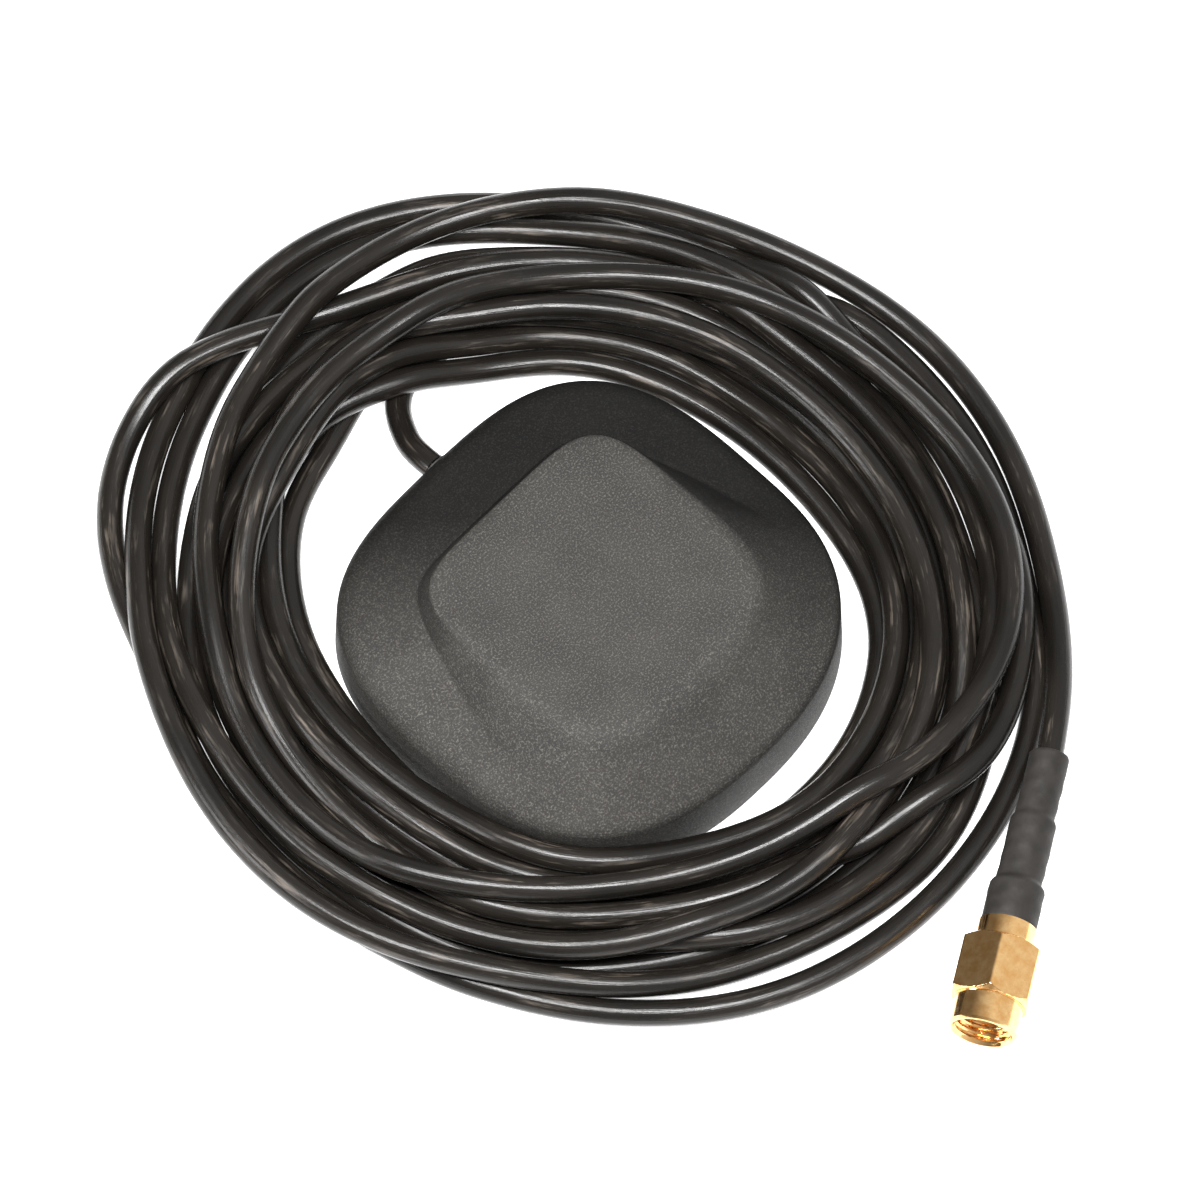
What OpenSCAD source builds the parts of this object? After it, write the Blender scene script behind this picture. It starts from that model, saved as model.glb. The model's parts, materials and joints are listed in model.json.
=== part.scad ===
// Magnetic-base satellite antenna: a moulded puck with a patch aerial and its
// amplifier board inside, a long thin coaxial lead wound round it, and a
// threaded coaxial plug with a free-turning hexagon nut on the lead's end.
// Origin: middle of the puck's underside. The lead leaves on the +Y side.

/* [Housing] */
// Width of the puck, across X
housing_w = 47.5; // [44:0.5:56]
// Length of the puck, along Y
housing_l = 48; // [44:0.5:56]
// Height of the low shelf round the puck
rim_h = 9.4; // [9:0.1:11]
// Thickness of the shelf's roof over the board
shelf_t = 1.5; // [1.2:0.1:1.8]
// Thickness of the crown's roof
roof_t = 2; // [1.6:0.1:2.6]
// Air left between the patch's pin and the crown's roof
roof_gap = 0.4; // [0.3:0.1:1]
// Radius of the rim's rounded edge at the back and sides
edge_r = 3; // [2:0.1:3.4]
// Radius of the rim's rounded edge in front
edge_front_r = 1.9; // [1.5:0.1:3]
// Thickness of the side wall above the base plate
wall_t = 2.4; // [2.2:0.1:2.8]
// Thickness of the skirt that hides the base plate
skirt_t = 1.1; // [0.9:0.1:1.3]
// Width of the raised flat crown, across X
crown_w = 28.2; // [27.8:0.1:30]
// Length of the raised flat crown, along Y
crown_l = 28.5; // [28:0.1:30]
// How far the crown's middle lies behind the puck's middle, along Y
crown_y = -0.8; // [-1:0.1:0]
// Distance from the puck's middle to the foot of the step behind the crown
step_back = 15.2; // [14.9:0.1:16.5]
// Half width of the raised island at the puck's middle
step_side = 19; // [18:0.1:20]

/* [Base] */
// Thickness of the base plate
plate_t = 2; // [1.8:0.1:2.2]
// How far the foot pad stands out under the base plate
foot_gap = 0.3; // [0.2:0.05:0.5]
// Thickness of the foot pad
pad_t = 0.6; // [0.5:0.05:0.9]
// Side of the square foot pad
pad_w = 30; // [24:0.5:31]
// Height of the seal ring in the plate's edge
seal_h = 0.6; // [0.4:0.1:0.8]
// Diameter of the magnet
magnet_d = 20; // [14:0.5:20]
// Thickness of the magnet
magnet_t = 2.6; // [2:0.1:2.7]

/* [Screws] */
// Distance of the screws from the puck's sides
screw_inset = 8.7; // [8.6:0.1:9]
// Thread diameter of the screws
screw_d = 1.9; // [1.6:0.1:2.2]
// Head diameter of the screws
screw_head_d = 3.6; // [3.2:0.1:4]
// Height of the screw heads
screw_head_h = 1.1; // [0.8:0.1:1.2]
// Diameter of the bosses that take the screws
boss_d = 4.4; // [3.8:0.1:4.6]

/* [Board and aerial] */
// Side of the square circuit board
board_w = 30; // [29:0.5:30]
// How much is cut off the board's corners, clear of the screw bosses
board_cut = 4.5; // [4.2:0.1:5]
// Thickness of the circuit board
board_t = 1.2; // [0.8:0.1:1.3]
// Side of the ceramic patch
patch_w = 25; // [18:0.5:25]
// Thickness of the ceramic patch
patch_t = 4; // [2:0.1:4.2]
// Side of the silver face on the patch
silver_w = 20.4; // [15:0.1:21]
// Thickness of the adhesive sheet under the patch
tape_t = 0.3; // [0.2:0.1:0.4]
// Distance of the feed pin from the patch's middle
feed_off = 2; // [1:0.1:3]
// Height of the shield can under the board
can_h = 2.5; // [2:0.1:2.6]
// Length of the shield can, across X
can_w = 22; // [18:0.5:22]
// Width of the shield can, along Y
can_l = 20; // [18:0.5:20]
// Length of the jacket inside the puck beyond the board's edge
strip_gap = 1.3; // [1:0.1:1.6]
// Length of bare braid laid along the board
braid_bare = 3; // [2.5:0.1:3.2]
// Length of bare inner insulation, and again of bare conductor
core_bare = 1.1; // [0.9:0.1:1.2]

/* [Lead] */
// Diameter of the lead's jacket
cable_d = 2.8; // [2.6:0.05:3]
// Diameter over the lead's braid
braid_d = 2.2; // [2:0.05:2.3]
// Diameter of the lead's inner insulation
core_d = 1.5; // [1.3:0.05:1.6]
// Diameter of the lead's inner conductor
wire_d = 0.5; // [0.4:0.05:0.6]
// Where the lead leaves the puck, across X
exit_x = 1; // [0:0.5:2]
// Inner radius of the wound coil
coil_in = 28.2; // [28:0.1:30]
// Outer radius of the wound coil
coil_out = 45; // [43:0.5:46]
// Height of the wound coil
coil_h = 9; // [7:0.5:10]

/* [Plug] */
// Width across the flats of the coupling nut
nut_af = 8; // [7.6:0.1:8.2]
// Length of the nut's hexagon
nut_hex_l = 6.6; // [6:0.1:7]
// Diameter of the nut's round front
nut_front_d = 7.3; // [7:0.1:7.6]
// Length of the nut's round front
nut_front_l = 3.3; // [3:0.1:4]
// Diameter of the nut's threaded hole
thread_d = 5.9; // [5.8:0.05:6.2]
// Diameter of the body's neck that the nut turns on
neck_d = 5.1; // [4.9:0.05:5.2]
// Diameter of the collar behind the nut
collar_d = 6.2; // [5.8:0.1:6.6]
// Length of the collar behind the nut
collar_l = 2.2; // [1.8:0.1:3]
// Diameter of the crimped ferrule
ferrule_d = 4.2; // [4:0.05:4.6]
// Length of the crimped ferrule
ferrule_l = 7.4; // [6.5:0.1:8]
// Diameter of the centre pin's tip
pin_d = 0.94; // [0.9:0.01:0.96]
// Length of the plug's insulator
ptfe_l = 9; // [8:0.5:9.5]
// Thickness of the shrunk sleeve over the ferrule
sleeve_t = 0.32; // [0.25:0.01:0.4]
// Length of the shrunk sleeve beyond the ferrule
sleeve_tail = 7.6; // [5:0.1:9]

/* [Hidden] */

$fn = 64;
fit = 0.1;                     // assembly clearance round a dropped-in piece
turn_fit = 0.07;               // radial running clearance under the nut

// Levels, measured up from the surface that the puck stands on
plate_z = foot_gap;
ledge_z = plate_z + plate_t;
pocket_z = pad_t + 0.8;        // floor of the magnet's pocket
board_top = rim_h - shelf_t;   // the board seats against the shelf's underside
board_z = board_top - board_t;
patch_z = board_top + tape_t;
patch_top = patch_z + patch_t;
silver_t = 0.1;
pin_head_h = 0.3;
roof_z = patch_top + silver_t + pin_head_h + roof_gap;
housing_h = roof_z + roof_t;   // 15 with the sizes above
can_z = board_z - can_h;
exit_z = board_z - braid_d/2;  // the braid lies along the board's underside
exit_y = housing_l/2;
wall_y = housing_l/2 - wall_t;

// Outline of the puck: a square with bowed sides, squarer at the back
outline_n = 2.77;              // exponent of the outline at its sides
outline_skew = 0.33;           // added at the back, taken off at the front
sides = 72;
draft = 0.15;                  // lean of the side wall over its height

function outline_power(a) = outline_n + outline_skew*sin(a);
function outline_r(a, inset = 0) = let (n = outline_power(a))
    pow(pow(abs(cos(a))/(housing_w/2 - inset), n)
        + pow(abs(sin(a))/(housing_l/2 - inset), n), -1/n);
function polar(a, r) = [r*cos(a), r*sin(a)];
function outline(inset) = [for (i = [0:sides - 1])
    let (a = 360*i/sides) polar(a, outline_r(a, inset))];

// Crown, and the foot of the step round it, which runs out into the rim in front
crown_n = 4.3;                 // exponent of its outline at the sides
crown_skew = 0.9;              // added at the back, taken off at the front
step_taper = 0.43;             // sideways spread of the step for each mm forward
step_blend = 12;
shelf_slope = 0.22;
front_start = 0.1;             // sine of the bearing at which the front slope begins
front_full = 0.5;              // and of the one from which it reaches the rim's edge
crown_drop = 0.35;
crown_soft = 0.9;

function crown_r(a) =
    let (reach = crown_l/2 + (sin(a) > 0 ? crown_y : -crown_y), n = crown_n + crown_skew*sin(a))
    pow(pow(abs(cos(a))/(crown_w/2), n) + pow(abs(sin(a))/reach, n), -1/n);
function frontness(a) = let (f = min(1, max(0, -1.5*sin(a)))) f*f*(3 - 2*f);
function edge_at(a) = edge_r + (edge_front_r - edge_r)*frontness(a);
function rim_r(a) = outline_r(a, draft + edge_at(a));
function step_r(a) =
    let (back = max(0, sin(a)/step_back),
         side = max(0, (abs(cos(a)) + step_taper*sin(a))/step_side),
         edge = 1/(rim_r(a) - 0.3))
    pow(pow(back, step_blend) + pow(side, step_blend) + pow(edge, step_blend),
        -1/step_blend);
function shelf_z(a, r) = rim_h + shelf_slope*(rim_r(a) - r)
    + edge_at(a)*(norm([1, shelf_slope]) - 1);
function ease(t) = 0.5*t + 0.5*t*t*(3 - 2*t);

// In front a straight slope takes over, from the crown's edge to the rim's rounding
function slope_share(a) =
    let (f = min(1, max(0, (-sin(a) - front_start)/(front_full - front_start))))
    f*f*(3 - 2*f);
function slope_foot(a) = outline_r(a, draft + edge_at(a)*(1 - cos(50)));
function slope_z(a, r) =
    let (top = housing_h - crown_drop, low = rim_h - edge_at(a)*(1 - sin(50)))
    top + (low - top)*(r - crown_r(a))/(slope_foot(a) - crown_r(a));
function raised(a, r, z) = r >= slope_foot(a) ? z
    : z + slope_share(a)*max(0, slope_z(a, r) - z);
function placed(a, r, z) = [r*cos(a), r*sin(a), raised(a, r, z)];

// Rings of the moulded top, from the wall in to the crown's middle; t is the angle turned
// through round the rim's edge, f the share of the way across the shelf or up the step
function edge_ring(t) = [for (i = [0:sides - 1])
    let (a = 360*i/sides, e = edge_at(a))
    placed(a, outline_r(a, draft + e*(1 - cos(t))), rim_h - e*(1 - sin(t)))];
function shelf_ring(f) = [for (i = [0:sides - 1])
    let (a = 360*i/sides, r = rim_r(a)*(1 - f) + step_r(a)*f)
    placed(a, r, shelf_z(a, r))];
function step_ring(f) = [for (i = [0:sides - 1])
    let (a = 360*i/sides, foot = step_r(a), low = shelf_z(a, foot))
    placed(a, foot*(1 - f) + crown_r(a)*f,
           low + (housing_h - crown_drop - low)*ease(f))];
function crown_ring(in, z) = [for (i = [0:sides - 1])
    let (a = 360*i/sides, p = polar(a, crown_r(a) - in)) [p[0], p[1], z]];

// Closed skin through a list of rings, with the last ring drawn to one point
module skin(rings, tip) {
    n = sides;
    last = len(rings) - 1;
    points = concat([for (ring = rings) each ring], [tip]);
    faces = concat(
        [[for (i = [0:n - 1]) i]],
        [for (k = [0:last - 1]) for (i = [0:n - 1])
            let (j = (i + 1) % n) [k*n + i, (k + 1)*n + i, (k + 1)*n + j]],
        [for (k = [0:last - 1]) for (i = [0:n - 1])
            let (j = (i + 1) % n) [k*n + i, (k + 1)*n + j, k*n + j]],
        [for (i = [0:n - 1]) [last*n + i, len(rings)*n, last*n + (i + 1) % n]]);
    polyhedron(points, faces, convexity = 6);
}

module moulded_top() {
    skin(concat(
            [[for (p = outline(0)) [p[0], p[1], plate_z]]],
            [for (t = [0, 22.5, 50, 70]) edge_ring(t)],
            [for (f = [0, 0.5, 1]) shelf_ring(f)],
            [for (f = [0.2, 0.5, 0.8]) step_ring(f)],
            [crown_ring(0, housing_h - crown_drop),
             crown_ring(crown_soft, housing_h - 0.05),
             crown_ring(crown_w/4, housing_h)]),
         [0, 0, housing_h]);
}

// Square with cut corners
module cut_square(w, l, cut) {
    x = w/2;
    y = l/2;
    polygon([[x, cut - y], [x, y - cut], [x - cut, y], [cut - x, y],
             [-x, y - cut], [-x, cut - y], [cut - x, -y], [x - cut, -y]]);
}

module at_screws() {
    for (x = [-1, 1]) for (y = [-1, 1])
        translate([x*(housing_w/2 - screw_inset), y*(housing_l/2 - screw_inset), 0]) children();
}

// Along the lead's axis inside the puck, from y0 to y1
module lead_run(y0, y1) {
    translate([exit_x, y1, exit_z]) rotate([90, 0, 0]) linear_extrude(y1 - y0) children();
}

// Housing

boss_reach = 0.8;              // solid left over the end of a screw
screw_tip = board_top - boss_reach;
head_floor = plate_z + 1.2;    // bottom of the pocket that takes a screw head
grommet_d = cable_d + 1;

module housing_cover() {
    color("#2b2b2a") difference() {
        moulded_top();
        translate([0, 0, -1]) linear_extrude(ledge_z + 1) polygon(outline(skirt_t));
        difference() {
            translate([0, 0, ledge_z - 0.5])
                linear_extrude(board_top - ledge_z + 0.5) polygon(outline(wall_t));
            at_screws() translate([0, 0, ledge_z]) cylinder(d = boss_d, h = board_top);
        }
        translate([0, crown_y, board_top - 0.5])
            linear_extrude(roof_z - board_top + 0.5)
                cut_square(patch_w + 0.6, patch_w + 0.6, 1.2);
        at_screws() translate([0, 0, ledge_z - 0.5])
            cylinder(d = screw_d, h = screw_tip - ledge_z + 0.6);
        lead_run(wall_y - 1, exit_y + 1) circle(d = grommet_d);
    }
}

// Base

plate_inset = skirt_t + 0.15;
seal_in = plate_inset + 0.65;
post_d = 2.4;
post_x = board_w/2 - post_d/2 - 0.4;
post_y = board_w/6;
cup_wall = 1.2;
cup_h = 1.1;

module base_plate() {
    color("#262625") difference() {
        union() {
            translate([0, 0, plate_z]) linear_extrude(plate_t - seal_h)
                polygon(outline(plate_inset));
            translate([0, 0, ledge_z - seal_h - 0.2]) linear_extrude(seal_h + 0.2)
                polygon(outline(seal_in));
            translate([0, 0, plate_z + 0.5])
                cylinder(d = magnet_d + 2*fit + 2*cup_wall, h = plate_t - 0.5 + cup_h);
            for (x = [-1, 1]) for (y = [-1, 1])
                translate([x*post_x, crown_y + y*post_y, plate_z + 0.5])
                    cylinder(d = post_d, h = board_z - plate_z - 0.5);
        }
        translate([0, 0, plate_z - 1]) linear_extrude(pad_t - plate_z + 1)
            cut_square(pad_w + 2*fit, pad_w + 2*fit, 4);
        translate([0, 0, pocket_z]) cylinder(d = magnet_d + 2*fit, h = rim_h);
        at_screws() {
            translate([0, 0, plate_z - 1]) cylinder(d = screw_d + 0.3, h = plate_t + 2);
            translate([0, 0, plate_z - 1])
                cylinder(d = screw_head_d + 0.4, h = head_floor - plate_z + 1);
        }
    }
}

module foot_pad() {
    color("#1c1c1c") linear_extrude(pad_t) cut_square(pad_w, pad_w, 4);
}

module magnet() {
    color("#6b6f73") translate([0, 0, pocket_z]) cylinder(d = magnet_d, h = magnet_t);
}

module base_screws() {
    head_z = head_floor - screw_head_h;
    color("#b9bcc0") at_screws() difference() {
        union() {
            translate([0, 0, head_z]) cylinder(d = screw_head_d, h = screw_head_h);
            translate([0, 0, head_floor]) cylinder(d = screw_d, h = screw_tip - head_floor);
        }
        for (turn = [0, 90]) rotate(turn) translate([-1, -0.2, head_z - 1])
            cube([2, 0.4, 1 + screw_head_h*0.55]);
    }
}

module seal_ring() {
    color("#3a3a3a") translate([0, 0, ledge_z - seal_h]) linear_extrude(seal_h) difference() {
        polygon(outline(plate_inset + 0.05));
        polygon(outline(seal_in));
    }
}

// Aerial and board

feed_y = crown_y - feed_off;
feed_d = 1;
feed_tail = 0.8;

module circuit_board() {
    color("#1f5f3a") translate([0, crown_y, board_z]) linear_extrude(board_t) difference() {
        cut_square(board_w, board_w, board_cut);
        translate([0, -feed_off]) circle(d = feed_d + 2*fit);
    }
}

module patch_tape() {
    color("#d8d4c6") translate([0, crown_y, board_top]) linear_extrude(tape_t) difference() {
        cut_square(patch_w - 1, patch_w - 1, 1);
        translate([0, -feed_off]) circle(d = feed_d + 1);
    }
}

module ceramic_patch() {
    color("#b58f6a") translate([0, crown_y, patch_z]) linear_extrude(patch_t) difference() {
        cut_square(patch_w, patch_w, 1);
        translate([0, -feed_off]) circle(d = feed_d + 2*fit);
    }
}

module patch_silver() {
    color("#cfcfca") translate([0, crown_y, patch_top]) linear_extrude(silver_t) difference() {
        cut_square(silver_w, silver_w, 1.6);
        translate([0, -feed_off]) circle(d = feed_d + 2*fit);
    }
}

module feed_pin() {
    color("#d6b25e") translate([0, feed_y, 0]) {
        translate([0, 0, patch_top + silver_t]) cylinder(d = 2*feed_d, h = pin_head_h);
        translate([0, 0, board_z - feed_tail])
            cylinder(d = feed_d, h = patch_top + silver_t - board_z + feed_tail);
    }
}

module shield_can() {
    color("#c4c6c8") translate([0, crown_y, can_z]) difference() {
        linear_extrude(can_h) cut_square(can_w, can_l, 0.8);
        translate([0, 0, 0.3]) linear_extrude(can_h) cut_square(can_w - 0.6, can_l - 0.6, 0.6);
        for (x = [-1.5:1.5]) for (y = [-1.5:1.5])
            translate([x*can_w/5, y*can_l/5, -1]) cylinder(d = 1, h = 2);
    }
}

// Flat part hung under the board: its middle and size are parts of the can's width,
// and h is its height as a part of the can's
module under_board(x, y, w, l, h) {
    u = can_w/22;
    translate([(x - w/2)*u, crown_y + (y - l/2)*u, board_z - h*can_h]) cube([w*u, l*u, h*can_h]);
}

module filter_block() {
    color("#a9a59a") difference() {
        under_board(5, 4, 3.8, 3.8, 0.56);
        translate([0, 0, -can_h*0.52]) under_board(5, 4, 3, 3, 0.1);
    }
}

module amplifier_chips() {
    color("#1a1a1c") for (y = [-4.5, 3.5]) {
        under_board(-4, y, 2.2, 1.4, 0.38);
        for (x = [-0.75, 0.75]) for (side = [-0.95, 0.95])
            under_board(-4 + x, y + side, 0.4, 0.5, 0.16);
    }
}

module chip_parts() {
    color("#8c7a5c") {
        for (x = [-8, 0, 4, 8]) under_board(x, -7, 0.8, 1.6, 0.24);
        for (x = [-8, 0, 8]) under_board(x, 7, 1.6, 0.8, 0.2);
    }
}

// Lead inside the puck

jacket_in = crown_y + board_w/2 + strip_gap;   // the jacket is stripped back to here
braid_in = jacket_in - braid_bare;
core_in = braid_in - core_bare;
wire_in = core_in - core_bare;
joint_t = 0.7;                 // height of the solder beside the braid
joint_w = braid_d + 1.2;

module solder_joints() {
    color("#b4b8bb") {
        difference() {
            translate([0, feed_y, board_z - feed_tail*0.6]) cylinder(d = feed_d*2.2, h = feed_tail*0.6);
            translate([0, feed_y, board_z - feed_tail]) cylinder(d = feed_d, h = feed_tail*2);
        }
        difference() {
            translate([exit_x - joint_w/2, braid_in + braid_bare*0.1, board_z - joint_t])
                cube([joint_w, braid_bare*0.4, joint_t]);
            lead_run(braid_in, jacket_in) circle(d = braid_d);
        }
        difference() {
            translate([exit_x, wire_in + core_bare/2, exit_z])
                cylinder(d = core_bare*0.8, h = board_z - exit_z);
            lead_run(wire_in - 1, core_in) circle(d = wire_d);
        }
    }
}

module cable_grommet() {
    color("#222222") difference() {
        union() {
            lead_run(wall_y - fit, exit_y - 0.2) circle(d = grommet_d);
            lead_run(wall_y - fit - 0.8, wall_y - fit) circle(d = grommet_d + 0.8);
        }
        lead_run(wall_y - 2, exit_y + 1) circle(d = cable_d);
    }
}

module lead_jacket() {
    color("#1f1e1d") difference() {
        lead_run(jacket_in, exit_y) circle(d = cable_d);
        lead_run(jacket_in - 1, exit_y + 1) circle(d = braid_d);
    }
}

module lead_braid() {
    color("#b98d5a") difference() {
        lead_run(braid_in, exit_y) circle(d = braid_d);
        lead_run(braid_in - 1, exit_y + 1) circle(d = core_d);
    }
}

module lead_core() {
    color("#e8e4da") difference() {
        lead_run(core_in, exit_y) circle(d = core_d);
        lead_run(core_in - 1, exit_y + 1) circle(d = wire_d);
    }
}

module lead_wire() {
    color("#c88a4a") lead_run(wire_in, exit_y) circle(d = wire_d);
}

// Free lead: tubes swept along hand-picked points, and the wound coil's ring

coil_x = -0.5;
coil_y = 1.5;
tube_sides = 8;

// Way from the puck to the coil's inside
lead_route = [[exit_x, exit_y, exit_z], [exit_x, exit_y + 1.2, exit_z],
              [exit_x + 0.2, exit_y + 3, exit_z - 0.7], [exit_x + 0.8, exit_y + 5, exit_z - 1.8],
              [exit_x + 1.8, exit_y + 6.8, exit_z - 2.8]];

// Loose turn that bows out of the coil at its back left
loop_route = [[5, 43, 7.5], [-1, 46.5, 7], [-7, 49.5, 5], [-13, 50.5, 3], [-19, 49, 1.8],
              [-24.5, 45.5, 1.5], [-28.5, 41, 1.5], [-31.5, 36, 1.5], [-33, 31, 1.5]];

// Last turn, from the plug's sleeve round the right side and up over the coil
tail_route = [[27, -40.5, 4.4], [31.8, -36.2, 3.2], [35.8, -31.4, 2.2], [39.4, -26.4, 1.6],
              [42.6, -21.4, 1.5], [45.2, -15.8, 1.5], [47, -9.8, 1.5], [48, -3.4, 1.5],
              [48, 2.8, 1.5], [46.8, 8.8, 2], [45, 14.4, 3], [42.6, 19.8, 4.4],
              [39.4, 24.8, 5.8], [35.2, 29.6, 7], [30, 33.4, 7.4]];

function unit(v) = v/norm(v);
function heading(path, i) = unit(path[min(i + 1, len(path) - 1)] - path[max(i - 1, 0)]);
// Ring of points square to the path, with one axis kept level
function tube_ring(path, i, d) =
    let (way = heading(path, i), across = unit(cross(way, [0, 0, 1])), up = cross(across, way))
    [for (k = [0:tube_sides - 1]) let (a = 360*(k + 0.5)/tube_sides)
        path[i] + across*(d/2*cos(a)) + up*(d/2*sin(a))];

module tube(path, d) {
    n = tube_sides;
    last = len(path) - 1;
    points = [for (i = [0:last]) each tube_ring(path, i, d)];
    faces = concat(
        [[for (k = [0:n - 1]) k]],
        [for (i = [0:last - 1]) for (k = [0:n - 1]) let (m = (k + 1) % n)
            [i*n + k, (i + 1)*n + k, (i + 1)*n + m]],
        [for (i = [0:last - 1]) for (k = [0:n - 1]) let (m = (k + 1) % n)
            [i*n + k, (i + 1)*n + m, i*n + m]],
        [[for (k = [n - 1:-1:0]) last*n + k]]);
    polyhedron(points, faces, convexity = 4);
}

module cord_lead() {
    color("#1f1e1d") tube(lead_route, cable_d);
}

module cord_loop() {
    color("#1f1e1d") tube(loop_route, cable_d);
}

module cord_tail() {
    color("#1f1e1d") tube(concat([on_plug(jacket_s), on_plug(jacket_s + 5), on_plug(sleeve_end)],
                                 tail_route), cable_d);
}

module cord_coil() {
    soft = 2.5;
    color("#1f1e1d") translate([coil_x, coil_y, 0]) rotate_extrude()
        polygon([[coil_in, 0], [coil_out - 1, 0], [coil_out, 1], [coil_out, coil_h - soft],
                 [coil_out - soft, coil_h], [coil_in + soft, coil_h], [coil_in, coil_h - soft]]);
}

// Plug: lengths run back from the nut's front face, along the plug's axis

plug_x = -5.4;
plug_y = -60.6;
plug_z = 4.7;                  // the hexagon's corners clear the table as it turns
plug_yaw = 31;

nut_l = nut_front_l + nut_hex_l;
face_s = 4;                    // the body's front face inside the nut
web_s = nut_l - 3.5;           // the nut's bore narrows here
ring_s = web_s + 1.4;          // the snap ring's front
ring_t = 0.5;
ring_in = neck_d - 0.7;
ring_out = thread_d - 0.1;
collar_s = nut_l + 0.1;
collar_end = collar_s + collar_l;
shoulder_d = 5.2;
shoulder_l = 4.8;
ferrule_s = collar_end + shoulder_l;
jacket_s = ferrule_s + ferrule_l;
sleeve_end = jacket_s + sleeve_tail;
barrel_d = 2.7;
barrel_end = jacket_s - 1.4;
bore_d = core_d + 0.1;
ptfe_d = 4.1;
ptfe_end = face_s + ptfe_l;
pin_rear_d = 1.3;
pin_tip = 1.9;
crimp_in = barrel_d + 0.54;    // inside of the ferrule, round the braid

function on_plug(s) = [plug_x + s*cos(plug_yaw), plug_y + s*sin(plug_yaw), plug_z];

module on_axis() {
    translate([plug_x, plug_y, plug_z]) rotate([0, 0, plug_yaw]) rotate([0, 90, 0]) children();
}

module coupling_nut() {
    corner = nut_af/cos(30)/2;
    bevel = 0.5;
    color("#d9ac5c") on_axis() difference() {
        union() {
            rotate_extrude() polygon([[0, 0], [nut_front_d/2 - 0.3, 0], [nut_front_d/2, 0.3],
                                      [nut_front_d/2, nut_front_l + 0.5], [0, nut_front_l + 0.5]]);
            intersection() {
                translate([0, 0, nut_front_l]) rotate(30)
                    cylinder(r = corner, h = nut_hex_l, $fn = 6);
                rotate_extrude() polygon([
                    [0, nut_front_l], [nut_af/2 - 0.1, nut_front_l],
                    [corner + 0.1, nut_front_l + bevel], [corner + 0.1, nut_l - bevel],
                    [nut_af/2 - 0.1, nut_l], [0, nut_l]]);
            }
        }
        rotate_extrude() polygon([
            [0, -1], [thread_d/2 + 0.4, -1], [thread_d/2 + 0.4, 0], [thread_d/2, 0.4],
            [thread_d/2, web_s], [neck_d/2 + turn_fit, web_s],
            [neck_d/2 + turn_fit, ring_s - 0.1], [thread_d/2 + 0.05, ring_s - 0.1],
            [thread_d/2 + 0.05, ring_s + ring_t + 0.1],
            [neck_d/2 + turn_fit, ring_s + ring_t + 0.1],
            [neck_d/2 + turn_fit, nut_l + 1], [0, nut_l + 1]]);
    }
}

module plug_body() {
    front_d = 4.7;
    color("#d9ac5c") on_axis() rotate_extrude() polygon([
        [ptfe_d/2, face_s], [front_d/2, face_s], [front_d/2, web_s - 0.1],
        [neck_d/2, web_s - 0.1], [neck_d/2, ring_s], [ring_in/2, ring_s],
        [ring_in/2, ring_s + ring_t], [neck_d/2, ring_s + ring_t], [neck_d/2, collar_s],
        [collar_d/2 - 0.15, collar_s], [collar_d/2, collar_s + 0.15],
        [collar_d/2, collar_end], [shoulder_d/2, collar_end], [shoulder_d/2, ferrule_s],
        [barrel_d/2, ferrule_s], [barrel_d/2, barrel_end], [bore_d/2, barrel_end],
        [bore_d/2, ptfe_end], [ptfe_d/2, ptfe_end]]);
}

// Split ring that lets the nut turn but not slide off
module snap_ring() {
    color("#b9bcc0") on_axis() translate([0, 0, ring_s]) linear_extrude(ring_t) difference() {
        circle(d = ring_out);
        circle(d = ring_in);
        translate([0, -0.4]) square([ring_out, 0.8]);
    }
}

module plug_gasket() {
    color("#b5482e") on_axis() translate([0, 0, web_s - 1.2]) linear_extrude(1) difference() {
        circle(d = thread_d - 0.2);
        circle(d = 4.7);
    }
}

module plug_insulator() {
    color("#efece2") on_axis() rotate_extrude() polygon([
        [pin_d/2, face_s], [ptfe_d/2, face_s], [ptfe_d/2, ptfe_end],
        [pin_rear_d/2, ptfe_end], [pin_rear_d/2, face_s + 1], [pin_d/2, face_s + 1]]);
}

module plug_pin() {
    color("#d9ac5c") on_axis() rotate_extrude() polygon([
        [0, pin_tip], [pin_d/2 - 0.25, pin_tip], [pin_d/2, pin_tip + 0.4],
        [pin_d/2, face_s + 1], [pin_rear_d/2, face_s + 1], [pin_rear_d/2, ptfe_end],
        [wire_d/2, ptfe_end], [wire_d/2, ptfe_end - 3], [0, ptfe_end - 3]]);
}

module tail_wire() {
    color("#c88a4a") on_axis() translate([0, 0, ptfe_end - 3])
        cylinder(d = wire_d, h = jacket_s - ptfe_end + 3);
}

module tail_core() {
    color("#e8e4da") on_axis() translate([0, 0, ptfe_end]) linear_extrude(jacket_s - ptfe_end)
        difference() { circle(d = core_d); circle(d = wire_d); }
}

module tail_braid() {
    color("#b98d5a") on_axis() translate([0, 0, ferrule_s]) linear_extrude(jacket_s - ferrule_s)
        difference() { circle(d = crimp_in); circle(d = barrel_d); }
}

module crimp_ferrule() {
    color("#d9ac5c") on_axis() translate([0, 0, ferrule_s]) linear_extrude(ferrule_l)
        difference() { circle(d = ferrule_d); circle(d = crimp_in); }
}

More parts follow.
